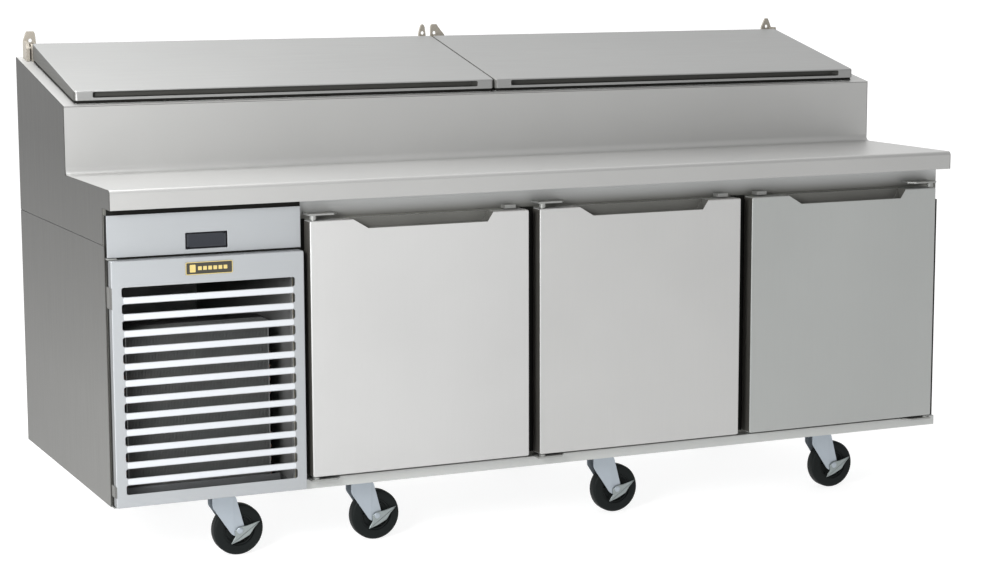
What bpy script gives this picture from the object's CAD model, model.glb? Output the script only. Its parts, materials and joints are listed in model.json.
import json
import math

import bmesh
import bpy
from mathutils import Matrix, Vector


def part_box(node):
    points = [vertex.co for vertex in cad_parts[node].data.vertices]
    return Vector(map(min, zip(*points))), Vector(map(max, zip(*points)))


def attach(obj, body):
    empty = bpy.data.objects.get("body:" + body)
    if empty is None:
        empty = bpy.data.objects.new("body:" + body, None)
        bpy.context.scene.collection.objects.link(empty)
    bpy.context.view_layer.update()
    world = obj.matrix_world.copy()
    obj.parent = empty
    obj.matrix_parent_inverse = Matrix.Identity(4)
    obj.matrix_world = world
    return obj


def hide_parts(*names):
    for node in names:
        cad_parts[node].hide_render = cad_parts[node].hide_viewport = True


# Looks of a refrigerated prep table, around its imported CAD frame.
# Metres, +Z up, front towards -Y.

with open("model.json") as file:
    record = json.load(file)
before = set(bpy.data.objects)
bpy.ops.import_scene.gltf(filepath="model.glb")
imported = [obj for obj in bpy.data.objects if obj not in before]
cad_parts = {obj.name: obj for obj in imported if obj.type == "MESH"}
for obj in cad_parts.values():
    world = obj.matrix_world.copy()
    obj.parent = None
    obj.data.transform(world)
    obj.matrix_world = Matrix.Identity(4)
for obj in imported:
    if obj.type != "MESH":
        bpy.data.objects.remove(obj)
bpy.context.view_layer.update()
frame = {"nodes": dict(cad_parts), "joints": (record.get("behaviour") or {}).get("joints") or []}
CAD = frame["nodes"]
JOINTS = {joint["name"]: joint for joint in frame["joints"]}


# ---------------------------------------------------------------- mesh code

class Shape:
    """Collects the faces of one piece."""

    def __init__(self):
        self.mesh = bmesh.new()

    def skin(self, rings, loop=False):
        """Quads between successive rings of points, closed at both ends or joined into a loop."""
        made = [[self.mesh.verts.new(point) for point in points] for points in rings]
        pairs = list(zip(made, made[1:]))
        if loop:
            pairs.append((made[-1], made[0]))
        count = len(made[0])
        for first, second in pairs:
            for i in range(count):
                j = (i + 1) % count
                self.mesh.faces.new((first[i], first[j], second[j], second[i]))
        if not loop:
            self.mesh.faces.new(list(reversed(made[0])))
            self.mesh.faces.new(made[-1])

    def prism(self, axis, outline, low, high):
        """An outline in the other two axes, drawn along one axis."""
        self.skin([[spread(axis, at, a, b) for a, b in outline] for at in (low, high)])

    def box(self, low, high):
        outline = [(low[1], low[2]), (high[1], low[2]), (high[1], high[2]), (low[1], high[2])]
        self.prism("X", outline, low[0], high[0])

    def lathe(self, axis, centre, profile, steps=32, loop=False):
        """Turn a profile of (along, radius) pairs about an axis through a centre."""
        rings = []
        for along, radius in profile:
            ring = []
            for i in range(steps):
                angle = 2 * math.pi * i / steps
                a = radius * math.cos(angle)
                b = radius * math.sin(angle)
                ring.append(Vector(centre) + Vector(spread(axis, along, a, b)))
            rings.append(ring)
        self.skin(rings, loop=loop)

    def tube(self, path, radius, steps=8, closed=False):
        """A round wire along a path."""
        path = [Vector(point) for point in path]
        rings = []
        side = None
        count = len(path)
        for i, point in enumerate(path):
            before = path[i - 1] if i or closed else point
            after = path[(i + 1) % count] if i + 1 < count or closed else point
            ahead = (after - before).normalized()
            if side is None:
                side = ahead.orthogonal().normalized()
            side = (side - ahead * side.dot(ahead)).normalized()
            up = ahead.cross(side)
            turn = [2 * math.pi * k / steps for k in range(steps)]
            rings.append([point + side * (radius * math.cos(t)) + up * (radius * math.sin(t)) for t in turn])
        self.skin(rings, loop=closed)

    def rolled(self, axis, outline, near, far, radius, steps=3):
        """An outline drawn along an axis, with its near edge rolled over."""
        toward = 1 if far > near else -1
        rings = []
        for k in range(steps + 1):
            angle = math.pi / 2 * k / steps
            level = near + toward * radius * (1 - math.sin(angle))
            inset = shrink(outline, radius * (1 - math.cos(angle)))
            rings.append([spread(axis, level, a, b) for a, b in inset])
        rings.reverse()
        rings.append([spread(axis, far, a, b) for a, b in outline])
        self.skin(rings)

    def pressed(self, outline, steps, face, loop=True):
        """An upright outline, repeated at steps of inset and of depth behind a face."""
        rings = []
        for inset, level in steps:
            rings.append([(x, face + level, z) for x, z in shrink(outline, inset)])
        self.skin(rings, loop=loop)

    def shift(self, first, matrix):
        """Move every vertex made since a count."""
        self.mesh.verts.ensure_lookup_table()
        for vert in self.mesh.verts[first:]:
            vert.co = matrix @ vert.co

    def count(self):
        return len(self.mesh.verts)

    def paint(self, wanted, index=1):
        """Give a material to the faces whose middles pass the test."""
        for face in self.mesh.faces:
            if wanted(face.calc_center_median()):
                face.material_index = index

    def paint_sides(self, left, right, index, reach=0.001, slant=0.9):
        """Give a material to the upright faces at the two ends along X."""
        self.mesh.normal_update()
        for face in self.mesh.faces:
            middle = face.calc_center_median().x
            at_end = middle < left + reach or middle > right - reach
            if at_end and abs(face.normal.x) > slant:
                face.material_index = index


def spread(axis, along, a, b):
    """A point from its place along one axis and its places along the other two, in X, Y, Z order."""
    if axis == "X":
        return (along, a, b)
    if axis == "Y":
        return (a, along, b)
    return (a, b, along)


def area(outline):
    """Twice the signed area of an outline."""
    total = 0
    for (a, b), (c, d) in zip(outline, outline[1:] + outline[:1]):
        total += a * d - c * b
    return total


def shrink(outline, amount):
    """The outline moved inwards by an amount, with mitred corners."""
    if amount == 0:
        return list(outline)
    if area(outline) < 0:
        amount = -amount
    result = []
    count = len(outline)
    for i in range(count):
        here = Vector(outline[i])
        back = (here - Vector(outline[i - 1])).normalized()
        ahead = (Vector(outline[(i + 1) % count]) - here).normalized()
        first = Vector((-back.y, back.x))
        second = Vector((-ahead.y, ahead.x))
        mitre = first + second
        result.append(tuple(here + mitre * (amount / max(0.3, 1 + first.dot(second)))))
    return result


def bend(first, corner, last, steps):
    """Points of a smooth turn from one point to another, pulled towards a corner."""
    first, corner, last = Vector(first), Vector(corner), Vector(last)
    shares = [k / steps for k in range(steps + 1)]
    return [tuple(first * (1 - t) ** 2 + corner * 2 * t * (1 - t) + last * t ** 2) for t in shares]


def rounded(outline, radius, steps=3):
    """The outline with its corners rounded."""
    result = []
    count = len(outline)
    for i in range(count):
        here = Vector(outline[i])
        back = Vector(outline[i - 1]) - here
        ahead = Vector(outline[(i + 1) % count]) - here
        reach = min(radius, back.length * 0.45, ahead.length * 0.45)
        result += bend(here + back.normalized() * reach, here, here + ahead.normalized() * reach, steps)
    return result


def shifted(base, profile):
    """A profile whose first numbers are distances from a base."""
    return [(base + along, size) for along, size in profile]


def rectangle(left, right, low, high):
    return [(left, low), (right, low), (right, high), (left, high)]


def arc_outline(a, b, radius, steps=24):
    """Points of a circle, as an outline."""
    turn = [2 * math.pi * k / steps for k in range(steps)]
    return [(a + radius * math.cos(t), b + radius * math.sin(t)) for t in turn]


def clip(outline, at, keep_low):
    """The part of an outline on one side of a line across its first axis."""
    sign = 1 if keep_low else -1
    result = []
    for first, second in zip(outline, outline[1:] + outline[:1]):
        here = sign * (at - first[0])
        there = sign * (at - second[0])
        if here >= 0:
            result.append(first)
        if here * there < 0:
            share = here / (here - there)
            result.append((at, first[1] + (second[1] - first[1]) * share))
    return result


# Square metres above which a face of a flat piece is shaded flat.
LARGE_FACE = 0.002


def loose_object(name, shape):
    """An object made of collected faces."""
    bmesh.ops.recalc_face_normals(shape.mesh, faces=shape.mesh.faces)
    mesh = bpy.data.meshes.new(name)
    shape.mesh.to_mesh(mesh)
    shape.mesh.free()
    thing = bpy.data.objects.new(name, mesh)
    bpy.context.scene.collection.objects.link(thing)
    return thing


def carved(shape, tools):
    """The shape with closed tools cut out of it."""
    base = loose_object("carve_base", shape)
    cutters = [loose_object("carve_tool", tool) for tool in tools]
    for cutter in cutters:
        cutting = base.modifiers.new("carve", "BOOLEAN")
        cutting.operation = "DIFFERENCE"
        cutting.solver = "EXACT"
        cutting.object = cutter
    view = bpy.context.evaluated_depsgraph_get()
    made = bpy.data.meshes.new_from_object(base.evaluated_get(view))
    result = Shape()
    result.mesh.from_mesh(made)
    for thing in [base] + cutters:
        mesh = thing.data
        bpy.data.objects.remove(thing)
        bpy.data.meshes.remove(mesh)
    bpy.data.meshes.remove(made)
    return result


def piece(name, shape, materials, body, nodes=(), slot=None, bevel=0.0, smooth=34, flat=False):
    """Turn collected faces into a finished piece that rides on a body."""
    thing = loose_object(name, shape)
    thing.data.shade_smooth()
    thing.data.set_sharp_from_angle(angle=math.radians(smooth))
    for material in materials if isinstance(materials, tuple) else (materials,):
        thing.data.materials.append(material)
    if flat:
        for polygon in thing.data.polygons:
            polygon.use_smooth = polygon.area < LARGE_FACE
    elif bevel:
        soften(thing, bevel)
    else:
        shade = thing.modifiers.new("shade", "WEIGHTED_NORMAL")
        shade.keep_sharp = True
    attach(thing, body)
    if nodes:
        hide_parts(*nodes)
    return thing


def soften(thing, width):
    """Round the sharp edges of an object and keep its flat faces flat."""
    edge = thing.modifiers.new("edge", "BEVEL")
    edge.width = width
    edge.segments = 2
    edge.limit_method = "ANGLE"
    edge.angle_limit = math.radians(32)
    shade = thing.modifiers.new("shade", "WEIGHTED_NORMAL")
    shade.keep_sharp = False


def dress(node, material, bevel=0.0006):
    """Give a CAD node its material, and round its edges a little."""
    thing = CAD[node]
    thing.data.materials.clear()
    thing.data.materials.append(material)
    if bevel:
        weld = thing.modifiers.new("weld", "WELD")
        weld.merge_threshold = 0.00002
        soften(thing, bevel)


# ---------------------------------------------------------------- materials

class Graph:
    """A material's node tree, with short ways to add and link nodes."""

    def __init__(self, name, colour, rough, metal):
        self.material = bpy.data.materials.new(name)
        self.material.use_nodes = True
        self.tree = self.material.node_tree
        self.shader = self.tree.nodes["Principled BSDF"]
        self.set("Base Color", (*colour, 1))
        self.set("Roughness", rough)
        self.set("Metallic", metal)
        self.coords = self.tree.nodes.new("ShaderNodeTexCoord").outputs["Object"]

    def set(self, socket, value):
        self.shader.inputs[socket].default_value = value

    def link(self, source, target):
        self.tree.links.new(source, target)

    def noise(self, scale, detail=2.0, rough=0.5):
        """Noise whose grain is stretched by three frequencies per metre."""
        mapping = self.tree.nodes.new("ShaderNodeMapping")
        mapping.inputs["Scale"].default_value = scale
        self.link(self.coords, mapping.inputs["Vector"])
        noise = self.tree.nodes.new("ShaderNodeTexNoise")
        noise.inputs["Scale"].default_value = 1.0
        noise.inputs["Detail"].default_value = detail
        noise.inputs["Roughness"].default_value = rough
        self.link(mapping.outputs["Vector"], noise.inputs["Vector"])
        return noise.outputs["Fac"]

    def spread(self, source, low, high, socket, start=0.3, stop=0.7):
        """Drive a shader value between two limits."""
        node = self.tree.nodes.new("ShaderNodeMapRange")
        node.inputs["From Min"].default_value = start
        node.inputs["From Max"].default_value = stop
        node.inputs["To Min"].default_value = low
        node.inputs["To Max"].default_value = high
        self.link(source, node.inputs["Value"])
        self.link(node.outputs["Result"], self.shader.inputs[socket])

    def tint(self, source, first, second, start=0.3, stop=0.7):
        """Drive the colour between two tones."""
        ramp = self.tree.nodes.new("ShaderNodeValToRGB")
        ramp.color_ramp.elements[0].position = start
        ramp.color_ramp.elements[1].position = stop
        ramp.color_ramp.elements[0].color = (*first, 1)
        ramp.color_ramp.elements[1].color = (*second, 1)
        self.link(source, ramp.inputs["Fac"])
        self.link(ramp.outputs["Color"], self.shader.inputs["Base Color"])

    def bump(self, source, depth, strength):
        """Small relief, in metres of depth."""
        node = self.tree.nodes.new("ShaderNodeBump")
        node.inputs["Strength"].default_value = strength
        node.inputs["Distance"].default_value = depth
        self.link(source, node.inputs["Height"])
        self.link(node.outputs["Normal"], self.shader.inputs["Normal"])

    def brush(self, grain, rough, vary):
        """Fine lines in the roughness and the relief."""
        lines = self.noise(grain, detail=3.0, rough=0.65)
        self.spread(lines, rough - vary, rough + vary, "Roughness")
        self.bump(lines, 0.00006, 0.35)


# Frequencies of the brushed lines along X, Y and Z, by the axis that they run along.
GRAIN = {"X": (6, 420, 420), "Y": (420, 6, 420), "Z": (420, 420, 6)}


def scaled(colour, factor):
    return tuple(min(1.0, channel * factor) for channel in colour)


def steel(name, colour, rough, grain="X", metal=0.85):
    """Brushed sheet: fine lines along one axis, and faint cloudy wiping marks."""
    graph = Graph(name, colour, rough, metal)
    cloud = graph.noise((2.2, 2.2, 2.2), detail=3.0)
    graph.tint(cloud, scaled(colour, 0.97), scaled(colour, 1.03))
    graph.brush(GRAIN[grain], rough, 0.035)
    return graph.material


def graded_steel(name, low_colour, high_colour, low, high, grain="X"):
    """Brushed sheet whose tone changes between two heights, in metres."""
    graph = Graph(name, high_colour, 0.46, 0.5)
    split = graph.tree.nodes.new("ShaderNodeSeparateXYZ")
    graph.link(graph.coords, split.inputs["Vector"])
    graph.tint(split.outputs["Z"], low_colour, high_colour, low, high)
    graph.brush(GRAIN[grain], 0.46, 0.03)
    return graph.material


def moulded(name, colour, rough, grain=900.0, depth=0.0001, metal=0.0, gloss=0.5):
    """Moulded, cast or painted surface with a fine even texture."""
    graph = Graph(name, colour, rough, metal)
    graph.set("Specular IOR Level", gloss)
    cloud = graph.noise((9, 9, 9), detail=3.0)
    graph.tint(cloud, scaled(colour, 0.94), scaled(colour, 1.06))
    fine = graph.noise((grain, grain, grain), detail=2.0)
    graph.spread(fine, rough - 0.05, rough + 0.05, "Roughness")
    graph.bump(fine, depth, 0.4)
    return graph.material


LID_STEEL = steel("lid_steel", (0.28, 0.282, 0.278), 0.44, metal=0.6)
TOP_STEEL = steel("top_steel", (0.415, 0.415, 0.408), 0.42, metal=0.6)
DOOR_STEELS = {1: steel("door_steel_1", (0.49, 0.49, 0.485), 0.5, "Z", 0.5),
               2: steel("door_steel_2", (0.465, 0.465, 0.458), 0.5, "Z", 0.5),
               3: steel("door_steel_3", (0.362, 0.372, 0.364), 0.5, "Z", 0.5)}
FRAME_STEEL = steel("frame_steel", (0.17, 0.17, 0.155), 0.5, metal=0.4)
HEADER_TONE = (0.52, 0.53, 0.53)
SILL_STEEL = steel("sill_steel", (0.46, 0.47, 0.46), 0.46, metal=0.5)
REAR_STEEL = steel("rear_steel", (0.46, 0.47, 0.47), 0.5, "Z", 0.6)
FASCIA = steel("fascia_steel", (0.35, 0.365, 0.378), 0.46, metal=0.5)
BLADE = steel("blade_steel", (0.54, 0.56, 0.585), 0.36, metal=0.35)
LINER = steel("liner_sheet", (0.5, 0.505, 0.505), 0.4, "Z", 0.7)
PAN_STEEL = steel("pan_steel", (0.46, 0.46, 0.46), 0.32, "Y", 0.85)
HINGE_STEEL = steel("hinge_steel", (0.27, 0.275, 0.265), 0.44, metal=0.5)
LEAF_STEEL = steel("leaf_steel", (0.1, 0.1, 0.095), 0.5, metal=0.3)
CREAM = moulded("cream_casting", (0.3, 0.275, 0.235), 0.45, metal=0.3)
ZINC = steel("fork_zinc", (0.36, 0.4, 0.44), 0.38, "Z", 0.7)
LEVER_ZINC = steel("lever_zinc", (0.26, 0.29, 0.29), 0.42, "X", 0.6)
TRAY = moulded("tray_steel", (0.16, 0.165, 0.17), 0.45, metal=0.6)
BAY_DARK = moulded("bay_lining", (0.22, 0.222, 0.222), 0.6, metal=0.3)
GRIP_DARK = moulded("grip_lining", (0.125, 0.125, 0.115), 0.55, metal=0.3)
FINS = steel("coil_fins", (0.3, 0.31, 0.31), 0.5, "Z", 0.4)
COLD_FINS = steel("cold_coil_fins", (0.55, 0.56, 0.57), 0.42, "Z", 0.8)
COPPER = steel("copper_tube", (0.62, 0.33, 0.2), 0.32, "X", 0.9)
BLACK_PAINT = moulded("black_paint", (0.028, 0.028, 0.03), 0.38)
BLACK_PLASTIC = moulded("black_plastic", (0.045, 0.045, 0.048), 0.48)
RUBBER = moulded("wheel_rubber", (0.007, 0.009, 0.009), 0.55, 1400, gloss=0.12)
HUB = moulded("wheel_hub", (0.01, 0.012, 0.012), 0.5, 700, gloss=0.12)
SEAL = moulded("gasket_rubber", (0.1, 0.1, 0.105), 0.6)
WHITE_PLASTIC = moulded("white_liner", (0.46, 0.46, 0.45), 0.42, 500)
WIRE = moulded("shelf_coating", (0.5, 0.5, 0.49), 0.34)
FOAM = moulded("foam", (0.72, 0.62, 0.4), 0.85, 300, 0.0006)
GOLD = steel("badge_gold", (0.7, 0.56, 0.22), 0.4, "X", 0.7)
BADGE_BLACK = moulded("badge_black", (0.03, 0.028, 0.022), 0.35)
SCREEN = moulded("display_glass", (0.022, 0.026, 0.032), 0.2)
FIELD = moulded("display_field", (0.02, 0.022, 0.028), 0.4, gloss=0.25)
BEZEL = moulded("display_bezel", (0.004, 0.004, 0.006), 0.5, gloss=0.15)
EDGE_DARK = moulded("door_edge", (0.07, 0.067, 0.06), 0.5, metal=0.3)
RECESS_DARK = moulded("lid_recess", (0.045, 0.045, 0.04), 0.55, metal=0.3)
FASCIA_EDGE = steel("fascia_edge", (0.15, 0.155, 0.16), 0.5, "Z", 0.3)
GAP_BLACK = moulded("gap_strip", (0.008, 0.008, 0.007), 0.6, gloss=0.08)
LID_EDGE = steel("lid_edge", (0.075, 0.075, 0.07), 0.5, "Y", 0.3)
SIDE_STEEL = graded_steel("side_steel", (0.106, 0.106, 0.1), (0.04, 0.04, 0.037), 0.4, 1.05, "Z")


# ---------------------------------------------------------------- cabinet

SHEET = 0.002
SEAM = 0.0006
FOLD = 0.0009
NOSE = 0.01
TOP_HEIGHT = 0.921
RAIL_FOOT = 1.089
# How far the loose trim stands off the frame that it covers.
STAND_OFF = 0.0002
SILL_PROUD = 0.02
SILL_LIP = 0.006
LINING = 0.0008
RIVET_SPOT = (-0.0912, 0.871)


def dress_cabinet():
    """Materials of the CAD sheets whose shape is right as it is."""
    for node, material in (("back_panel", REAR_STEEL), ("bottom_panel", REAR_STEEL),
                           ("front_frame", FRAME_STEEL), ("cabinet_liner", LINER), ("rail_deck", TOP_STEEL),
                           ("rail_well", LINER), ("condensing_base", TRAY)):
        dress(node, material)
    dress("insulation", FOAM, 0)
    dress("worktop", TOP_STEEL, 0)
    dress("control_panel", FASCIA, 0.0012)
    dress("hinge_brackets", HINGE_STEEL, 0.0008)
    dress("lid_hinges", CREAM, 0.0016)


def make_end(side, outer):
    """Upper and lower end skins with softened edges and a fine seam between them."""
    low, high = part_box(side + "_end_panel")
    wall_low, wall_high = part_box(side + "_side_panel")
    near = low.x if outer < 0 else high.x
    far = high.x if outer < 0 else low.x
    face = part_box("front_frame")[0].y
    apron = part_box("worktop")[0].z
    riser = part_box("worktop")[1].y - SHEET
    seam = low.z + SEAM
    turns = [math.pi / 2 * k / 5 for k in range(6)]
    nose = [(low.y + NOSE - NOSE * math.sin(t), TOP_HEIGHT - NOSE + NOSE * math.cos(t)) for t in turns]
    outline = [(high.y, seam), (high.y, high.z), (riser, RAIL_FOOT), (riser, TOP_HEIGHT)] + nose
    outline += [(low.y, apron), (face, apron), (face, seam)]
    upper = Shape()
    upper.rolled("X", outline, near, far, FOLD)
    piece(side + "_end_panel_sheet", upper, SIDE_STEEL, "cabinet", (side + "_end_panel",), "side_steel")
    lower = Shape()
    outline = rectangle(wall_low.y, wall_high.y, wall_low.z, wall_high.z - SEAM)
    lower.rolled("X", outline, near, far, FOLD)
    piece(side + "_side_panel_sheet", lower, SIDE_STEEL, "cabinet", (side + "_side_panel",), "side_steel")


def make_valance():
    """Light sheet over the header, which falls into shade above the doors."""
    frame_low, frame_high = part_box("front_frame")
    face = frame_low.y
    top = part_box("worktop")[0].z - 0.0005
    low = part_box("door_skin_1")[1].z + 0.003
    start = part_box("door_skin_1")[0].x - 0.012
    shade = graded_steel("header_steel", (0.125, 0.125, 0.115), HEADER_TONE, low + 0.004, top - 0.006)
    back = face - STAND_OFF
    front = face - 0.0016
    outline = [(back, top), (front, top), (front, low + 0.001), (face - 0.001, low), (back, low)]
    strip = Shape()
    strip.prism("X", outline, start, frame_high.x)
    piece("header_valance", strip, shade, "cabinet", slot="stainless", bevel=0.0003)


def make_front_trim():
    """Light sheet over the sill, and black strips in the gaps beside the doors."""
    frame_low, frame_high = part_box("front_frame")
    face = frame_low.y
    doors = [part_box("door_skin_%d" % number) for number in (1, 2, 3)]
    start = doors[0][0].x
    louver_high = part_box("louver_panel")[1]
    front = face - SILL_PROUD
    back = face - STAND_OFF
    top = doors[0][0].z - 0.009
    lip = frame_low.z - SILL_LIP
    under = frame_low.z + 0.0002
    section = [(back, top), (front + 0.002, top), (front + 0.0006, top - 0.0006), (front, top - 0.002),
               (front, lip), (front + 0.0016, lip), (front + 0.0016, under), (back, under)]
    sill = Shape()
    sill.prism("X", section, start - 0.012, frame_high.x)
    piece("sill_sheet", sill, SILL_STEEL, "cabinet", slot="stainless", bevel=0.0003)
    strips = Shape()
    near = face - 0.0022
    low, high = doors[0][0].z, doors[0][1].z
    lefts = [louver_high.x, doors[0][1].x, doors[1][1].x]
    for left, door in zip(lefts, doors):
        strips.box((left - 0.003, near, low), (door[0].x + 0.003, back, high + 0.002))
    panel_low, panel_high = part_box("control_panel")
    strips.box((panel_high.x + 0.0004, near, high), (start - 0.01, back, panel_high.z))
    side = panel_low.x
    start = (side - 0.0005, panel_low.y + 0.0012, panel_low.z)
    strips.box(start, (side - 0.0001, panel_high.y, panel_high.z))
    back = panel_low.y + 0.0045
    joins = ((panel_high.z - 0.001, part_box("worktop")[0].z), (louver_high.z + 0.0006, panel_low.z + 0.001))
    for low, high in joins:
        strips.box((side + 0.001, back - 0.0015, low), (panel_high.x, back, high))
    piece("gap_strips", strips, GAP_BLACK, "cabinet", slot="gasket")


def make_bay_lining():
    """Dark galvanised sheets inside the machine bay."""
    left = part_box("left_side_panel")[1].x + 0.0006
    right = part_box("cabinet_liner")[0].x - 0.0006
    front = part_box("cabinet_liner")[0].y + 0.002
    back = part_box("back_panel")[0].y + 0.0005
    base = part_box("bottom_panel")[1].z + 0.0006
    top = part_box("worktop")[0].z - 0.001
    lining = Shape()
    inside = left + LINING
    outside = right - LINING
    lining.box((left, front, base), (inside, back, top))
    lining.box((outside, front, base), (right, back, top))
    lining.box((inside, front, base), (outside, back, base + LINING))
    lining.box((inside, front, top - LINING), (outside, back, top))
    lining.box((right - 0.004, front - 0.001, base), (right + 0.01, front - 0.0002, top))
    piece("machine_bay_lining", lining, BAY_DARK, "cabinet", slot="tray_steel")


def make_fixings():
    """Domed rivet beside the worktop, and screws round the rear sheet."""
    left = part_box("left_end_panel")[0].x
    rivet = Shape()
    dome = [(0.0008, 0.0062), (0.0002, 0.006), (-0.0002, 0.004), (-0.0004, 0.0008)]
    rivet.lathe("X", (left + 0.0004, *RIVET_SPOT), dome, 20)
    piece("end_panel_rivet", rivet, BLADE, "cabinet", slot="stainless")
    low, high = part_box("back_panel")
    screws = Shape()
    columns = 9
    for step in range(columns):
        x = low.x + 0.03 + (high.x - low.x - 0.06) * step / (columns - 1)
        for z in (low.z + 0.022, 0.62, high.z - 0.022):
            screws.lathe("Y", (x, high.y, z), [(-0.0012, 0.0048), (-0.0004, 0.0046), (-0.0001, 0.002)], 14)
    piece("back_panel_screws", screws, HINGE_STEEL, "cabinet", slot="rear_steel")


dress_cabinet()
for side, outer in (("left", -1), ("right", 1)):
    make_end(side, outer)
make_valance()
make_front_trim()
make_bay_lining()
make_fixings()


# ---------------------------------------------------------------- doors

NOTCH_LEFT = 0.11
NOTCH_RIGHT = 0.097
NOTCH_DROP = 0.024
NOTCH_SLANTS = (0.04, 0.016)
NOTCH_DEPTH = 0.034
GRIP_DROP = 0.046
DOOR_SHEET = 0.0022
DOOR_CORNER = 0.005
DOOR_ROLL = 0.003
RECESS_SLACK = 0.0004


def make_door(number):
    """Folded skin with its finger recess, moulded liner and bellows gasket."""
    node = "door_skin_%d" % number
    body = "door_%d" % number
    low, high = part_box(node)
    top = high.z
    start = low.x + NOTCH_LEFT
    stop = high.x - NOTCH_RIGHT
    shell = Shape()
    edge = rounded(rectangle(low.x, high.x, low.z, top), DOOR_CORNER)
    shell.rolled("Y", edge, low.y, high.y - 0.0008, DOOR_ROLL, 4)
    notch = Shape()
    outline = [(start - 0.004, top + 0.002), (start, top), (start + NOTCH_SLANTS[0], top - NOTCH_DROP),
               (stop - NOTCH_SLANTS[1], top - NOTCH_DROP), (stop, top), (stop + 0.001, top + 0.002)]
    deep = low.y + NOTCH_DEPTH
    notch.prism("Y", outline, low.y - 0.002, deep)
    grip = Shape()
    near = low.y + DOOR_SHEET
    foot = top - GRIP_DROP
    section = [(near, foot), (near + 0.015, foot), (deep, top + 0.001), (near, top + 0.001)]
    grip.prism("X", section, start + 0.002, stop - 0.002)
    shell = carved(shell, [notch, grip])

    def is_recess(middle):
        across = start < middle.x < stop and near - RECESS_SLACK < middle.y < deep + RECESS_SLACK
        return across and foot - 0.001 < middle.z < top - 0.0002

    shell.paint(is_recess)
    shell.paint_sides(low.x, high.x, 2)
    looks = (DOOR_STEELS[number], GRIP_DARK, EDGE_DARK)
    piece(node + "_folded", shell, looks, body, (node,), "door_steel", flat=True)
    make_door_liner(number, body)
    make_gasket(number, body)


def make_door_liner(number, body):
    """Inner face of a door: a shallow moulded pan."""
    node = "door_liner_%d" % number
    low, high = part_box(node)
    liner = Shape()
    edge = rectangle(low.x + 0.001, high.x - 0.001, low.z + 0.001, high.z - 0.001)
    rings = []
    for inset, level in ((0, -0.0006), (0, 0.0006), (0.026, 0.0006), (0.03, -0.0004), (0.036, -0.006),
                         (0.042, -0.007)):
        ring = rounded(shrink(edge, inset), 0.004 + inset * 0.6, 4)
        rings.append([(x, high.y + level, z) for x, z in ring])
    liner.skin(rings)
    piece(node + "_panel", liner, WHITE_PLASTIC, body, (node,), "door_inner")


def make_gasket(number, body):
    """Magnetic gasket: a mitred frame with a hollow-looking bulb."""
    node = "door_gasket_%d" % number
    low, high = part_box(node)
    section = [(0.001, 0.0), (0.0, 0.3), (0.0012, 0.55), (0.0, 0.8), (0.0018, 1.0), (0.0082, 1.0),
               (0.01, 0.8), (0.0088, 0.55), (0.01, 0.3), (0.009, 0.0)]
    deep = high.y - low.y
    steps = [(inset, deep * share) for inset, share in section]
    seal = Shape()
    seal.pressed(rectangle(low.x, high.x, low.z, high.z), steps, low.y)
    piece(node + "_bulb", seal, SEAL, body, (node,), "gasket")


for number in (1, 2, 3):
    make_door(number)


# ---------------------------------------------------------------- lids

RAIL_TAN = math.tan(math.radians(11.354))
LID_FRONT_EDGE = 1.124
LID_REAR_EDGE = 1.225
LID_REAR = 0.393
LID_CORNER = 0.009
LID_SEAL = 0.008
HANDLE_MARGIN = 0.045
EAR_INSETS = {1: (0.007, 0.013), 2: (0.028, 0.013)}


def on_seat(outline, front, seat, lift):
    """An outline in plan, laid at a height above the slope that a lid sits on."""
    return [(x, y, seat + (y - front) * RAIL_TAN + lift) for x, y in outline]


def under_top(outline, front, drop):
    """An outline in plan, laid at a depth under the top of a lid."""
    rise = (LID_REAR_EDGE - LID_FRONT_EDGE) / (LID_REAR - front)
    return [(x, y, LID_FRONT_EDGE + (y - front) * rise - drop) for x, y in outline]


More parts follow.
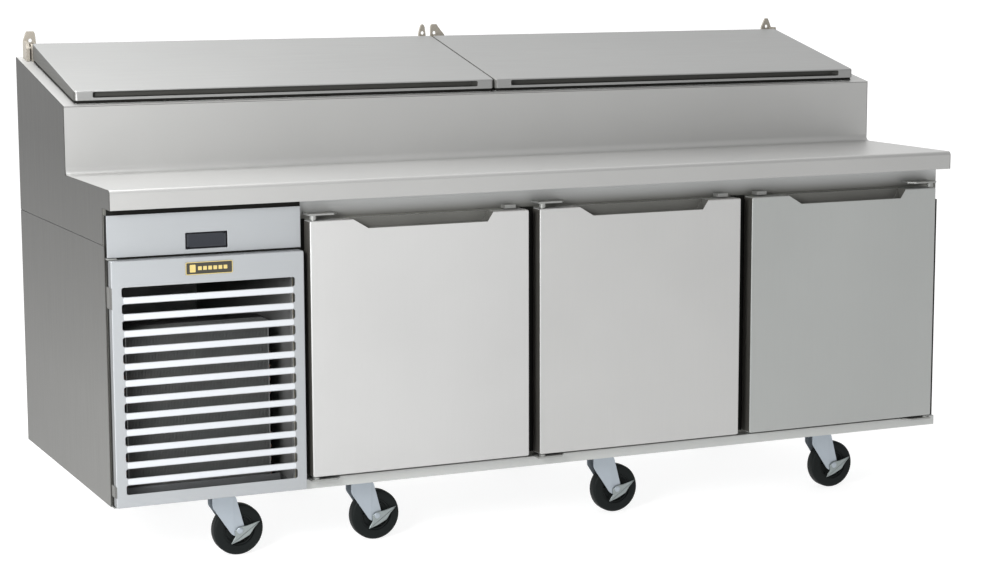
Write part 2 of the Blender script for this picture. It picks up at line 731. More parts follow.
def make_lid(number):
    """Lid skin with the long finger recess under its front edge, its hinge arms and its inner panel."""
    node = "lid_skin_%d" % number
    body = "lid_%d" % number
    low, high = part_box(node)
    left, right, front, seat = low.x, high.x, low.y, low.z
    plan = [(left, LID_REAR), (left, front), (right, front), (right, LID_REAR)]
    rings = [on_seat(rounded(plan, LID_CORNER, 4), front, seat, LID_SEAL)]
    for inset, drop in ((0.0, 0.0026), (0.0004, 0.0014), (0.0012, 0.0005), (0.0024, 0.0)):
        rings.append(under_top(rounded(shrink(plan, inset), LID_CORNER, 4), front, drop))
    shell = Shape()
    shell.skin(rings)
    recess = Shape()
    first = left + HANDLE_MARGIN
    last = right - HANDLE_MARGIN
    top = LID_FRONT_EDGE
    mouth = rounded(rectangle(first, last, top - 0.0175, top - 0.003), 0.004)
    floor = rounded(rectangle(first + 0.012, last - 0.012, top - 0.0155, top - 0.002), 0.004)
    recess.skin([[(x, front - 0.004, z) for x, z in mouth], [(x, front + 0.02, z) for x, z in floor]])
    shell = carved(shell, [recess])
    shell.paint(lambda middle: first < middle.x < last and front + 0.001 < middle.y < front + 0.0205
                and top - 0.018 < middle.z < top - 0.0008)
    shell.paint_sides(left, right, 2, LID_CORNER * 0.6, 0.45)
    near_ear, far_ear = EAR_INSETS[number]
    for ear in (left + near_ear, right - far_ear):
        make_ear(shell, ear)
    piece(node + "_shell", shell, (LID_STEEL, RECESS_DARK, LID_EDGE), body, (node,), "stainless", flat=True)
    seal = Shape()
    rings = []
    for inset, lift in ((0.002, 0.0), (0.0016, 0.001), (0.0026, LID_SEAL / 2), (0.002, LID_SEAL + 0.0004),
                        (0.006, LID_SEAL + 0.0004), (0.006, 0.0)):
        rings.append(on_seat(rounded(shrink(plan, inset), LID_CORNER, 4), front, seat, lift))
    seal.skin(rings, loop=True)
    piece("lid_seal_%d" % number, seal, GAP_BLACK, body, (node,), "gasket")
    inner = Shape()
    edge = rectangle(left + 0.004, right - 0.004, front + 0.004, LID_REAR - 0.004)
    rings = []
    for inset, lift in ((0, 0.004), (0, -0.0012), (0.012, -0.0012), (0.022, 0.0024), (0.03, 0.003)):
        rings.append(on_seat(rounded(shrink(edge, inset), 0.006 + inset, 4), front, seat, lift))
    inner.skin(rings)
    node = "lid_inner_%d" % number
    piece(node + "_panel", inner, WHITE_PLASTIC, body, (node,), "lid_inner")


def make_ear(shape, at):
    """One hinge arm of a lid, around the pivot."""
    y, z = JOINTS["lid_1_hinge"]["pos_m"][1:]
    outline = [(LID_REAR - 0.006, z - 0.022), (y + 0.004, z - 0.011), (y + 0.01, z - 0.005),
               (y + 0.011, z + 0.003), (y + 0.005, z + 0.009), (LID_REAR - 0.006, z + 0.003)]
    shape.prism("X", outline, at, at + 0.006)


for number in (1, 2):
    make_lid(number)


# ---------------------------------------------------------------- louvered panel

SLOT_COUNT = 13
SLOT_PITCH = 0.039
SLOT_OPEN = 0.023
SLOT_CORNER = 0.006
SLOT_FOOT = 0.031
SLOT_MARGIN = 0.024
LEAF = 0.0022

LOUVER_SHEET = 0.0016
LOUVER_CORNER = 0.005
BLADE_PROUD = 0.0004
# Body, CAD node and slot of every piece of the panel.
LOUVER = ("louver_door", ("louver_panel",), "fascia_steel")
SLOT_STEPS = 5


def between_slots(left, right, foot, top):
    """Outline of the sheet between two slots, hollowed at its corners by their rounded ends."""
    reach = SLOT_CORNER
    outline = bend((left, foot - reach), (left, foot), (left + reach, foot), SLOT_STEPS)
    outline += bend((right - reach, foot), (right, foot), (right, foot - reach), SLOT_STEPS)
    outline += bend((right, top + reach), (right, top), (right - reach, top), SLOT_STEPS)
    return outline + bend((left + reach, top), (left, top), (left, top + reach), SLOT_STEPS)


def make_louver():
    """Pressed panel with its slots and the bright bars between them, its edge seals and two hinge leaves."""
    low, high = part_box("louver_panel")
    left = low.x + LEAF
    rear = high.y - 0.0005
    inner_left = left + SLOT_MARGIN
    inner_right = high.x - SLOT_MARGIN
    slot_low = low.z + SLOT_FOOT
    slot_high = slot_low + SLOT_PITCH * (SLOT_COUNT - 1) + SLOT_OPEN
    outer = rounded(rectangle(left, high.x, low.z, high.z), LOUVER_CORNER, SLOT_STEPS)
    inner = rounded(rectangle(inner_left, inner_right, slot_low, slot_high), SLOT_CORNER, SLOT_STEPS)
    rings = []
    for inset, level in ((0.003, 0.0), (0.0012, 0.0006), (0.0003, 0.0018), (0.0, 0.0034)):
        rings.append([(x, low.y + level, z) for x, z in shrink(outer, inset)])
    rings.append([(x, rear, z) for x, z in outer])
    rings.append([(x, rear, z) for x, z in shrink(outer, 0.0016)])
    rings.append([(x, low.y + LOUVER_SHEET, z) for x, z in shrink(outer, 0.0016)])
    rings.append([(x, low.y + LOUVER_SHEET, z) for x, z in inner])
    rings.append([(x, low.y, z) for x, z in inner])
    face = Shape()
    face.skin(rings, loop=True)
    blades = Shape()
    for number in range(SLOT_COUNT - 1):
        foot = slot_low + SLOT_OPEN + SLOT_PITCH * number
        top = slot_low + SLOT_PITCH * (number + 1)
        face.prism("Y", between_slots(inner_left, inner_right, foot, top), low.y, low.y + LOUVER_SHEET)
        edge = rectangle(inner_left + 0.004, inner_right - 0.004, foot + 0.0012, top - 0.0012)
        blades.rolled("Y", rounded(edge, 0.004, 4), low.y - BLADE_PROUD, low.y + 0.0002, BLADE_PROUD, 2)
    piece("louver_panel_blades", blades, BLADE, *LOUVER)
    face.paint_sides(left, high.x, 1)
    piece("louver_panel_frame", face, (FASCIA, FASCIA_EDGE), *LOUVER)
    seal = Shape()
    for x in (left - 0.0003, high.x):
        seal.box((x, rear - 0.012, low.z), (x + 0.0003, rear, high.z))
    piece("louver_panel_seal", seal, GAP_BLACK, *LOUVER)
    leaves = Shape()
    for base, tall in ((high.z - 0.112, 0.05), (low.z + 0.025, 0.027)):
        outline = rounded(rectangle(high.y - 0.028, high.y, base, base + tall), 0.002)
        leaves.prism("X", outline, low.x, left)
        leaves.lathe("Z", (low.x + 0.003, low.y + 0.0032, 0), [(base, 0.0028), (base + tall, 0.0028)], 14)
    piece("louver_panel_leaves", leaves, LEAF_STEEL, *LOUVER, bevel=0.0004)


make_louver()


def make_display():
    """Display window: a thin bezel, dark glass and a slightly lighter field."""
    low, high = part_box("display_window")
    front = low.y
    mid_x = (low.x + high.x) / 2
    mid_z = (low.z + high.z) / 2
    edge = rounded(rectangle(mid_x - 0.0512, mid_x + 0.0512, mid_z - 0.0192, mid_z + 0.0192), 0.002)
    bezel = Shape()
    bezel.pressed(edge, ((0.0, 0.011), (0.0, 0.0009), (0.0006, 0.0003), (0.003, 0.0003), (0.0036, 0.0012),
                         (0.0036, 0.011)), front)
    piece("display_bezel", bezel, BEZEL, "cabinet", ("display_window",), "display")
    glass = Shape()
    glass.prism("Y", shrink(edge, 0.0037), front + 0.0016, front + 0.004)
    piece("display_glass", glass, SCREEN, "cabinet", ("display_window",), "display")
    field = Shape()
    edge = rounded(rectangle(mid_x - 0.0445, mid_x + 0.0445, mid_z - 0.014, mid_z + 0.014), 0.001)
    field.rolled("Y", edge, front + 0.0012, front + 0.0018, 0.0003, 2)
    piece("display_field", field, FIELD, "cabinet", ("display_window",), "display")


make_display()


def make_badge():
    """Blank plate with a raised gold rim and a plain row of bars."""
    low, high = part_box("badge")
    plate = Shape()
    edge = rounded(rectangle(low.x, high.x, low.z, high.z), 0.004)
    plate.rolled("Y", edge, low.y + 0.0006, high.y, 0.0005, 2)
    piece("badge_plate", plate, BADGE_BLACK, "louver_door", ("badge",), "badge_metal")
    rim = Shape()
    rim.pressed(edge, ((0.0, 0.0008), (0.0004, 0.0), (0.0016, 0.0), (0.002, 0.0008)), low.y)
    mark = low.x + 0.01
    mid = (low.z + high.z) / 2
    bars = [rounded(rectangle(mark, mark + 0.014, mid - 0.009, mid + 0.009), 0.002)]
    for step in range(6):
        start = mark + 0.02 + step * 0.0125
        bars.append(rounded(rectangle(start, start + 0.009, mid - 0.0045, mid + 0.0045), 0.001))
    for bar in bars:
        rim.prism("Y", bar, low.y + 0.0001, low.y + 0.001)
    piece("badge_rim", rim, GOLD, "louver_door", ("badge",), "badge_metal")


make_badge()


# ---------------------------------------------------------------- casters

TYRE_HALF = 0.016
TYRE_BORE = 0.04
DISH = ((0.013, 0.0402), (0.0142, 0.0375), (0.0135, 0.035), (0.008, 0.0325), (0.007, 0.018), (0.011, 0.015),
        (0.017, 0.0138), (0.0174, 0.0055))
LEG_INNER = 0.0185
LEG_THICK = 0.0035


def make_wheel(name):
    """Wheel: solid tyre with a crowned tread, and a dished hub with ribs."""
    low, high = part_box("caster_wheel_" + name)
    body = "wheel_" + name
    centre = (low + high) / 2
    radius = (high.z - low.z) / 2
    tyre = Shape()
    crown = [(0.0, 0.0075), (0.001, 0.004), (0.003, 0.0015), (0.006, 0.0003)]
    near = [(along - TYRE_HALF, radius - drop) for along, drop in crown]
    far = [(TYRE_HALF - along, radius - drop) for along, drop in reversed(crown)]
    profile = [(-TYRE_HALF, TYRE_BORE)] + near + [(0, radius)] + far + [(TYRE_HALF, TYRE_BORE)]
    tyre.lathe("Y", centre, profile, 56, loop=True)
    piece("caster_tyre_" + name, tyre, RUBBER, body, ("caster_wheel_" + name,), "wheel_black")
    hub = Shape()
    profile = []
    for side in (-1, 1):
        rim = [(side * along, size) for along, size in DISH]
        profile += rim if side < 0 else reversed(rim)
    hub.lathe("Y", centre, profile, 40, loop=True)
    for step in range(6):
        first = hub.count()
        hub.box((0.015, -0.0128, -0.0014), (0.034, 0.0128, 0.0014))
        turn = Matrix.Rotation(math.radians(60 * step), 4, "Y")
        hub.shift(first, Matrix.Translation(centre) @ turn)
    piece("caster_hub_" + name, hub, HUB, body, ("caster_wheel_" + name,), "wheel_black")


def make_fork(name, braked):
    """Swivelling fork: pressed crown, legs folded along a crease, and the axle through them."""
    node = "caster_fork_" + name
    low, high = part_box(node)
    x, y = JOINTS["swivel_" + name]["pos_m"][:2]
    axle = Vector(JOINTS["roll_" + name]["pos_m"])
    trail = axle.x - x
    z = axle.z
    top = high.z
    leg = [(x - 0.03, top - 0.003), (x - 0.03, z + 0.062), (x + trail - 0.02, z - 0.009),
           (x + trail - 0.009, z - 0.015), (x + trail + 0.005, z - 0.014), (x + trail + 0.013, z - 0.004),
           (x + trail + 0.013, z + 0.008), (x + trail - 0.008, top - 0.003)]
    leg = rounded(leg, 0.005)
    crease = axle.x - 0.014
    fork = Shape()
    for side in (-1, 1):
        inner = y + side * LEG_INNER
        for keep_low, fall in ((True, 0.075), (False, 0.1)):
            rings = []
            for share in (1.0, 0.0):
                ring = []
                for a, b in clip(leg, crease, keep_low):
                    outer = LEG_THICK - min(LEG_THICK - 0.001, abs(a - crease) * fall)
                    ring.append((a, inner + side * outer * share, b))
                rings.append(ring)
            fork.skin(rings)
    half = LEG_INNER + LEG_THICK
    crown = rounded(rectangle(x - 0.03, x + trail - 0.008, y - half, y + half), 0.007)
    fork.rolled("Z", crown, top, top - 0.005, 0.0026)
    end = low.y if braked else y - half - 0.002
    fork.lathe("Y", (axle.x, 0, z), [(end + 0.001, 0.005), (y + half, 0.005)], 20)
    for face, into in ((end, 1), (y + half + 0.002, -1)):
        head = [(face, 0.003), (face + into * 0.0004, 0.0062), (face + into * 0.0014, 0.0078),
                (face + into * 0.0022, 0.008)]
        fork.lathe("Y", (axle.x, 0, z), head, 20)
    piece(node + "_pressing", fork, ZINC, "fork_" + name, (node,), "fork_zinc", bevel=0.0007)


def make_lever(name):
    """Brake lever: a pressed rocker with pointed ends and a rolled edge."""
    node = "brake_lever_" + name
    low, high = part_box(node)
    axle = Vector(JOINTS["roll_" + name]["pos_m"])
    points = ((-23, -33), (1, -25), (25, -13), (36, 3), (52, 19), (17, 10), (0, 9), (-13, 0), (-11, -14),
              (-17, -22))
    outline = [(axle.x + a / 1000, axle.z + b / 1000) for a, b in points]
    lever = Shape()
    lever.rolled("Y", rounded(outline, 0.003), low.y, high.y, 0.0013)
    piece(node + "_rocker", lever, LEVER_ZINC, "lever_" + name, (node,), "lever_zinc")


def make_caster_plate(name):
    """Top plate with four bolts, a grooved ball race and the king pin's nut."""
    low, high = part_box("caster_plates")
    x, y = JOINTS["swivel_" + name]["pos_m"][:2]
    top = high.z
    under = top - 0.004
    plate = Shape()
    edge = rounded(rectangle(x - 0.052, x + 0.052, y - 0.042, y + 0.042), 0.008)
    plate.rolled("Z", edge, under, top, 0.0014)
    for a in (-0.04, 0.04):
        for b in (-0.031, 0.031):
            plate.lathe("Z", (x + a, y + b, 0), [(under, 0.009), (under - 0.0012, 0.0088)], 20)
            plate.prism("Z", arc_outline(x + a, y + b, 0.0068, 6), under - 0.006, under - 0.001)
    race = shifted(under, [(0, 0.029), (-0.003, 0.029), (-0.0042, 0.027), (-0.0052, 0.027), (-0.0064, 0.0285),
                           (-0.01, 0.0275), (-0.011, 0.025)])
    plate.lathe("Z", (x, y, 0), race, 40)
    plate.lathe("Z", (x, y, 0), [(under - 0.0105, 0.006), (low.z, 0.006)], 16)
    plate.prism("Z", arc_outline(x, y, 0.0108, 6), low.z, low.z + 0.004)
    piece("caster_plate_" + name, plate, ZINC, "cabinet", ("caster_plates",), "fork_zinc")


for row in ("front", "rear"):
    for number in range(1, 5):
        caster = "%s_%d" % (row, number)
        make_wheel(caster)
        make_fork(caster, row == "front")
        make_caster_plate(caster)
        if row == "front":
            make_lever(caster)


# ---------------------------------------------------------------- pans and shelves

PANS_PER_LID = 6
PAN_PITCH = 0.18
PAN_WIDE = 0.176
PAN_LONG = 0.325
PAN_START = 0.054
RISER = -0.043


def up_the_rail(x, along, above):
    """A point given by its way up the rail's slope and its height above it."""
    slope = math.atan(RAIL_TAN)
    return (x, RISER + along * math.cos(slope) - above * math.sin(slope),
            RAIL_FOOT + along * math.sin(slope) + above * math.cos(slope))


def make_pan(pans, x):
    """One pressed pan: rolled rim, stepped shoulder, drafted walls and a rounded floor."""
    edge = rectangle(x, x + PAN_WIDE, PAN_START, PAN_START + PAN_LONG)
    profile = [(0.03, -0.0998), (0.0235, -0.0985), (0.0185, -0.093), (0.015, -0.023), (0.011, -0.02),
               (0.0104, -0.001), (0.008, 0.0006), (0.0014, 0.0002), (0.0000, 0.001), (0.0002, 0.0022),
               (0.0014, 0.003), (0.0082, 0.003), (0.0108, 0.002), (0.012, -0.001), (0.0124, -0.019),
               (0.0162, -0.022), (0.0198, -0.0925), (0.0245, -0.0968), (0.031, -0.0982)]
    rings = []
    for inset, above in profile:
        ring = rounded(shrink(edge, inset), 0.012 + inset * 0.9, 5)
        rings.append([up_the_rail(a, along, above) for a, along in ring])
    pans.skin(rings)


def make_pans():
    """Twelve third-size pans, six under each lid."""
    for number in (1, 2):
        low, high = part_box("lid_skin_%d" % number)
        left = (low.x + high.x) / 2 - PAN_PITCH * PANS_PER_LID / 2
        for step in range(PANS_PER_LID):
            pans = Shape()
            make_pan(pans, left + PAN_PITCH * step + (PAN_PITCH - PAN_WIDE) / 2)
            name = "food_pan_%d_%d" % (number, step + 1)
            piece(name, pans, PAN_STEEL, "cabinet", ("food_pans",), "pan_steel", smooth=50)


def make_shelf(name, left, right, front, rear, level):
    """One coated wire shelf: a rim rod, close top wires and three cross rods."""
    shelf = Shape()
    middle = level - 0.0026
    corner = rounded(rectangle(left + 0.0026, right - 0.0026, front + 0.0026, rear - 0.0026), 0.014, 4)
    shelf.tube([(x, y, middle) for x, y in corner], 0.0025, closed=True)
    wires = 24
    for step in range(1, wires):
        x = left + (right - left) * step / wires
        shelf.tube([(x, front + 0.003, level - 0.0016), (x, rear - 0.003, level - 0.0016)], 0.0015, 6)
    for share in (0.2, 0.5, 0.8):
        y = front + (rear - front) * share
        shelf.tube([(left + 0.003, y, level - 0.004), (right - 0.003, y, level - 0.004)], 0.0019, 6)
    piece(name, shelf, WIRE, "cabinet", ("wire_shelves",), "shelf_wire")


def make_pilaster(strips, x, y, low, high):
    """One shelf standard: a back strip with two edges and a ladder of rungs between its slots."""
    wide, deep, edge, pitch = 0.01, 0.016, 0.003, 0.0254
    strips.box((x, y, low), (x + wide * 0.25, y + deep, high))
    for start in (y, y + deep - edge):
        strips.box((x, start, low), (x + wide, start + edge, high))
    for step in range(int((high - low) / pitch)):
        base = low + 0.008 + step * pitch
        strips.box((x + wide * 0.75, y + edge, base), (x + wide, y + deep - edge, base + pitch * 0.6))


def make_shelves():
    """Two shelves in each bay, on four slotted standards."""
    low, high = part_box("wire_shelves")
    doors = [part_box("door_skin_%d" % number) for number in (1, 2, 3)]
    first = (doors[0][1].x + doors[1][0].x) / 2
    second = (doors[1][1].x + doors[2][0].x) / 2
    edges = [(low.x - 0.003, first), (first, second), (second, high.x + 0.003)]
    strips = Shape()
    for number, (left, right) in enumerate(edges, start=1):
        for x in (left + 0.003, right - 0.013):
            for y in (low.y + 0.028, low.y + 0.428):
                make_pilaster(strips, x, y, low.z, high.z)
        for level, z in enumerate((low.z + 0.195, low.z + 0.39), start=1):
            make_shelf("wire_shelf_%d_%d" % (number, level), left + 0.016, right - 0.016, low.y, high.y, z)
    piece("shelf_standards", strips, LINER, "cabinet", ("wire_shelves",), "shelf_wire")


make_pans()
make_shelves()


# ---------------------------------------------------------------- cooling

COIL_TUBE = 0.0042


def make_coil(name, low, high, rows, pitch, fin_material, node):
    """A finned coil: thin upright fins between two end plates, and tubes with bends at their ends."""
    fins = Shape()
    count = int((high[0] - low[0] - 0.024) / pitch)
    for step in range(count + 1):
        x = low[0] + 0.012 + (high[0] - low[0] - 0.024) * step / count
        fins.box((x - 0.0002, low[1], low[2]), (x + 0.0002, high[1], high[2]))
    for x in (low[0] + 0.009, high[0] - 0.0105):
        fins.box((x, low[1], low[2]), (x + 0.0015, high[1], high[2]))
    piece(name + "_fins", fins, fin_material, "cabinet", (node,), "coil_metal")
    tubes = Shape()
    tall = (high[2] - low[2]) / rows
    deep = high[1] - low[1]
    depths = (low[1] + deep * 0.3, low[1] + deep * 0.7)
    ends = (low[0] + 0.006, high[0] - 0.006)
    middle = (depths[0] + depths[1]) / 2
    reach = (depths[1] - depths[0]) / 2
    for row in range(rows):
        z = low[2] + tall * (row + 0.5)
        for y in depths:
            tubes.tube([(x, y, z) for x in ends], COIL_TUBE)
        for x, out in zip(ends, (-1, 1)):
            bow = [math.pi * k / 6 for k in range(7)]
            path = [(x + out * 0.0036 * math.sin(t), middle - reach * math.cos(t), z) for t in bow]
            tubes.tube(path, COIL_TUBE)
    piece(name + "_tubes", tubes, COPPER, "cabinet", (node,), "coil_metal")


def make_condenser():
    """Condenser coil, its shroud with a round mouth, and the ribbed fan motor on its strap."""
    low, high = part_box("condenser")
    x, z = JOINTS["condenser_fan_spin"]["pos_m"][::2]
    shroud_front = low.y + 0.055
    shroud_rear = shroud_front + 0.06
    make_coil("condenser_coil", (low.x, low.y, low.z), (high.x, shroud_front, high.z), 12, 0.0036, FINS,
              "condenser")
    shroud = Shape()
    outline = rounded(rectangle(low.x, high.x, low.z, high.z), 0.006)
    shroud.rolled("Y", outline, shroud_rear, shroud_front, 0.004)
    hollow = Shape()
    hollow.prism("Y", shrink(outline, 0.0025), shroud_front - 0.01, shroud_rear - 0.0025)
    mouth = Shape()
    mouth.prism("Y", arc_outline(x, z, 0.136, 64), shroud_rear - 0.01, shroud_rear + 0.01)
    piece("fan_shroud", carved(shroud, [hollow, mouth]), BLACK_PAINT, "cabinet", ("condenser",), "coil_metal")
    motor = Shape()
    front = shroud_rear + 0.04
    body = shifted(front, [(0, 0.012), (0, 0.034), (0.003, 0.04), (0.014, 0.042), (0.017, 0.039),
                           (0.052, 0.039), (0.056, 0.042), (0.066, 0.04), (0.07, 0.03)])
    motor.lathe("Y", (x, 0, z), body, 40)
    for step in range(16):
        first = motor.count()
        motor.box((-0.001, front + 0.018, 0.038), (0.001, front + 0.051, 0.0416))
        motor.shift(first, Matrix.Translation((x, 0, z)) @ Matrix.Rotation(math.tau * step / 16, 4, "Y"))
    motor.prism("Z", rounded(rectangle(low.x, high.x, front, front + 0.004), 0.001), z - 0.01, z + 0.01)
    for left in (low.x, high.x - 0.004):
        motor.box((left, shroud_rear, z - 0.01), (left + 0.004, front + 0.004, z + 0.01))
    piece("condenser_motor", motor, BLACK_PAINT, "cabinet", ("condenser",), "coil_metal")


def make_compressor():
    """Hermetic compressor: domed shell with a weld band, terminal cover, feet and copper stubs."""
    low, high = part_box("compressor")
    x = low.x + 0.11
    y = high.y - 0.092
    base = low.z
    shell = Shape()
    dome = shifted(base, [(0.014, 0.03), (0.016, 0.07), (0.026, 0.088), (0.04, 0.092), (0.112, 0.092),
                          (0.113, 0.092), (0.119, 0.092), (0.12, 0.092), (0.18, 0.091), (0.2, 0.084),
                          (0.214, 0.066), (0.221, 0.038), (0.2235, 0.006)])
    shell.lathe("Z", (x, y, 0), dome, 48)
    plate = rounded(rectangle(x - 0.109, x + 0.109, y - 0.069, y + 0.069), 0.024)
    shell.rolled("Z", plate, base + 0.014, base + 0.01, 0.001)
    foot = shifted(base, [(0, 0.011), (0.004, 0.012), (0.006, 0.009), (0.012, 0.012), (0.018, 0.009)])
    for a in (-0.092, 0.092):
        for b in (-0.052, 0.052):
            shell.lathe("Z", (x + a, y + b, 0), foot, 20)
    piece("compressor_shell", shell, BLACK_PAINT, "cabinet", ("compressor",), "compressor_black")
    cover = Shape()
    edge = rounded(rectangle(x - 0.026, x + 0.026, base + 0.07, base + 0.14), 0.006)
    cover.rolled("Y", edge, y - 0.1005, y - 0.08, 0.005)
    piece("compressor_cover", cover, BLACK_PLASTIC, "cabinet", ("compressor",), "compressor_black")
    lines = Shape()
    lines.tube([(x + 0.07, y, base + 0.188), (high.x, y, base + 0.188)], 0.0079, 16)
    lines.tube([(x - 0.06, y - 0.169, base + 0.208), (x - 0.06, y - 0.02, base + 0.208),
                (x - 0.059, y - 0.005, base + 0.204)], 0.0049, 12)
    piece("compressor_lines", lines, COPPER, "cabinet", ("compressor",), "compressor_black")


def make_evaporator():
    """Evaporator: housing with a round mouth and a ring guard, its coil and its motor."""
    low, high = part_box("evaporator")
    x, z = JOINTS["evaporator_fan_spin"]["pos_m"][::2]
    outline = rounded(rectangle(low.x, high.x, low.z, high.z), 0.006)
    housing = Shape()
    housing.rolled("Y", outline, low.y, high.y, 0.004)
    hollow = Shape()
    hollow.prism("Y", shrink(outline, 0.002), low.y + 0.002, high.y + 0.01)
    mouth = Shape()
    mouth.prism("Y", arc_outline(x, z, 0.082, 48), low.y - 0.01, low.y + 0.01)
    case = carved(housing, [hollow, mouth])
    piece("evaporator_case", case, LINER, "cabinet", ("evaporator",), "coil_metal")
    guard = Shape()
    for radius in (0.018, 0.034, 0.05, 0.066, 0.081):
        ring = [(a, low.y + 0.004, b) for a, b in arc_outline(x, z, radius, 40)]
        guard.tube(ring, 0.0013, 6, closed=True)
    for angle in (0.4, 2.5, 4.6):
        spoke = [(x + r * math.cos(angle), low.y + 0.0055, z + r * math.sin(angle)) for r in (0.014, 0.083)]
        guard.tube(spoke, 0.0015, 6)
    piece("evaporator_guard", guard, WIRE, "cabinet", ("evaporator",), "coil_metal")
    make_coil("evaporator_coil", (low.x + 0.012, high.y - 0.07, low.z + 0.012),
              (high.x - 0.012, high.y - 0.005, high.z - 0.012), 8, 0.0045, COLD_FINS, "evaporator")
    motor = Shape()
    front = low.y + 0.07
    body = shifted(front, [(0, 0.008), (0, 0.024), (0.003, 0.03), (0.048, 0.03), (0.058, 0.022)])
    motor.lathe("Y", (x, 0, z), body, 32)
    piece("evaporator_motor", motor, BLACK_PLASTIC, "cabinet", ("evaporator",), "coil_metal")


def make_fan(node, body, hub_radius, reach, hub_front, hub_rear, shaft_rear):
    """A moulded fan: a capped hub and five twisted blades with rounded tips."""
    centre = Vector(JOINTS[node + "_spin"]["pos_m"])
    fan = Shape()
    hub = [(hub_front, hub_radius * 0.6), (hub_front + 0.002, hub_radius * 0.9),
           (hub_front + 0.005, hub_radius), (hub_rear, hub_radius)]
    fan.lathe("Y", (centre.x, 0, centre.z), hub, 32)
    fan.lathe("Y", (centre.x, 0, centre.z), [(hub_rear, 0.004), (shaft_rear, 0.004)], 12)
    middle = (hub_front + hub_rear) / 2
    for blade in range(5):
        rings = []
        for station in range(8):
            share = station / 7
            radius = hub_radius * 0.9 + (reach - hub_radius * 0.9) * share
            half = (0.42 + 0.14 * share) * (1 - 0.55 * max(0.0, share - 0.8) / 0.2)
            pitch = (hub_rear - hub_front) * (0.42 - 0.14 * share)
            ring = []
            for k in range(12):
                turn = math.tau * k / 12
                across = math.cos(turn)
                angle = math.tau * blade / 5 + 0.12 * share + half * across
                depth = middle + pitch * across + 0.0011 * math.sin(turn) + 0.003 * (1 - across ** 2)
                ring.append((centre.x + radius * math.cos(angle), depth, centre.z + radius * math.sin(angle)))
            rings.append(ring)
        fan.skin(rings)
    piece(node + "_rotor", fan, BLACK_PLASTIC, body, (node,), "fan_plastic", smooth=50)


def make_fans():
    """Condenser fan and evaporator fan, each inside its CAD envelope."""
    for node in ("condenser_fan", "evaporator_fan"):
        low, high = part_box(node)
        reach = (high.x - low.x) / 2 * 0.98
        hub = (0.03, 0.04) if node == "condenser_fan" else (0.02, 0.032)
        make_fan(node, node + "_rotor", hub[0], reach, low.y, low.y + hub[1], high.y)


make_condenser()
make_compressor()
make_evaporator()
make_fans()


# ---------------------------------------------------------------- studio

FLOOR_TONE = (0.3, 0.3, 0.3)
FLOOR_GLOW = 0.8
WORLD_FRONT = 0.62
WORLD_BACK = 1.16
KEY_POWER = 65
TOP_POWER = 81
SIDE_POWER = 3
FLOOR_LEVEL = -0.0005
FLOOR_REACH = 300
CAMERA_SPOT = (-2.5225, -5.5966, 1.4686)
CAMERA_YAW = 0.425
CAMERA_PITCH = 0.145
CAMERA_ROLL = -0.003
CAMERA_LENS = 84.13


def make_stage():
    """Pale paper floor that glows a little, so that it comes out white."""
    floor = Shape()
    reach = FLOOR_REACH
    corners = rectangle(-reach, reach, -reach, reach)
    floor.mesh.faces.new([floor.mesh.verts.new((x, y, FLOOR_LEVEL)) for x, y in corners])
    ground = loose_object("floor", floor)
    graph = Graph("floor_paper", FLOOR_TONE, 0.85, 0.0)
    cloud = graph.noise((0.4, 0.4, 0.4))
    graph.tint(cloud, scaled(FLOOR_TONE, 0.99), scaled(FLOOR_TONE, 1.01))
    graph.set("Emission Color", (1, 1, 1, 1))
    graph.set("Emission Strength", FLOOR_GLOW)
    ground.data.materials.append(graph.material)


def make_light(name, spot, aim, size, power):
    """Soft rectangular lamp turned towards a point."""
    lamp = bpy.data.lights.new(name, "AREA")
    lamp.shape = "RECTANGLE"
    lamp.size = size[0]
    lamp.size_y = size[1]
    lamp.energy = power
    thing = bpy.data.objects.new(name, lamp)
    bpy.context.scene.collection.objects.link(thing)
    thing.location = spot
    thing.rotation_euler = (Vector(aim) - Vector(spot)).to_track_quat("-Z", "Y").to_euler()


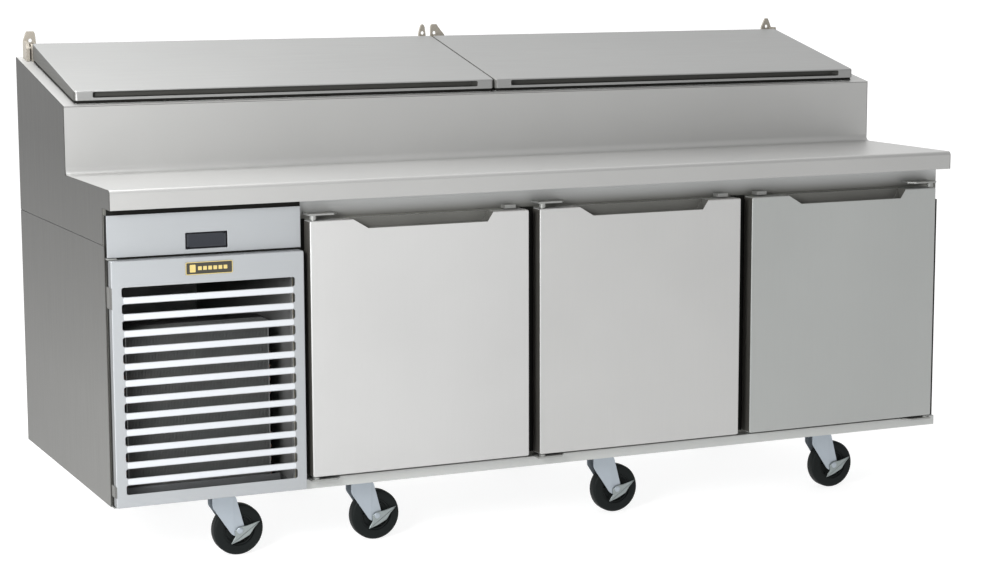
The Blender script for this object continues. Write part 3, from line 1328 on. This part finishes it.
def make_world():
    """Even studio surround, a little brighter behind the table than in front of it."""
    world = bpy.data.worlds.new("studio")
    world.use_nodes = True
    tree = world.node_tree
    back = tree.nodes["Background"]
    back.inputs["Strength"].default_value = 1.0
    coords = tree.nodes.new("ShaderNodeTexCoord")
    split = tree.nodes.new("ShaderNodeSeparateXYZ")
    ramp = tree.nodes.new("ShaderNodeValToRGB")
    ramp.color_ramp.elements[0].position = 0.35
    ramp.color_ramp.elements[1].position = 0.75
    ramp.color_ramp.elements[0].color = (*[WORLD_FRONT] * 3, 1)
    ramp.color_ramp.elements[1].color = (*[WORLD_BACK] * 3, 1)
    half = tree.nodes.new("ShaderNodeMapRange")
    half.inputs["From Min"].default_value = -1
    tree.links.new(coords.outputs["Generated"], split.inputs["Vector"])
    tree.links.new(split.outputs["Y"], half.inputs["Value"])
    tree.links.new(half.outputs["Result"], ramp.inputs["Fac"])
    tree.links.new(ramp.outputs["Color"], back.inputs["Color"])
    bpy.context.scene.world = world


def make_camera():
    """Long lens in front of the left end, a little above the lids."""
    yaw, pitch, roll = CAMERA_YAW, CAMERA_PITCH, CAMERA_ROLL
    ahead = Vector((math.sin(yaw) * math.cos(pitch), math.cos(yaw) * math.cos(pitch), -math.sin(pitch)))
    right = Vector((math.cos(yaw), -math.sin(yaw), 0))
    up = right.cross(ahead)
    side = right * math.cos(roll) + up * math.sin(roll)
    over = up * math.cos(roll) - right * math.sin(roll)
    lens = bpy.data.cameras.new("camera")
    lens.sensor_width = 36
    lens.lens = CAMERA_LENS
    lens.clip_end = 1000
    thing = bpy.data.objects.new("camera", lens)
    bpy.context.scene.collection.objects.link(thing)
    place = Matrix((side, over, -ahead)).transposed().to_4x4()
    thing.matrix_world = Matrix.Translation(CAMERA_SPOT) @ place
    bpy.context.scene.camera = thing


make_stage()
make_world()
make_light("key", (-2.2, -2.0, 1.35), (-0.9, -0.4, 0.6), (0.8, 0.8), KEY_POWER)
make_light("top", (-1.5, 0.2, 3.0), (-0.9, 0.1, 1.0), (1.2, 1.2), TOP_POWER)
make_light("side", (-2.1, -0.3, 0.2), (-1.16, 0.0, 0.3), (0.6, 0.3), SIDE_POWER)
make_camera()
bpy.context.scene.view_settings.view_transform = "Standard"
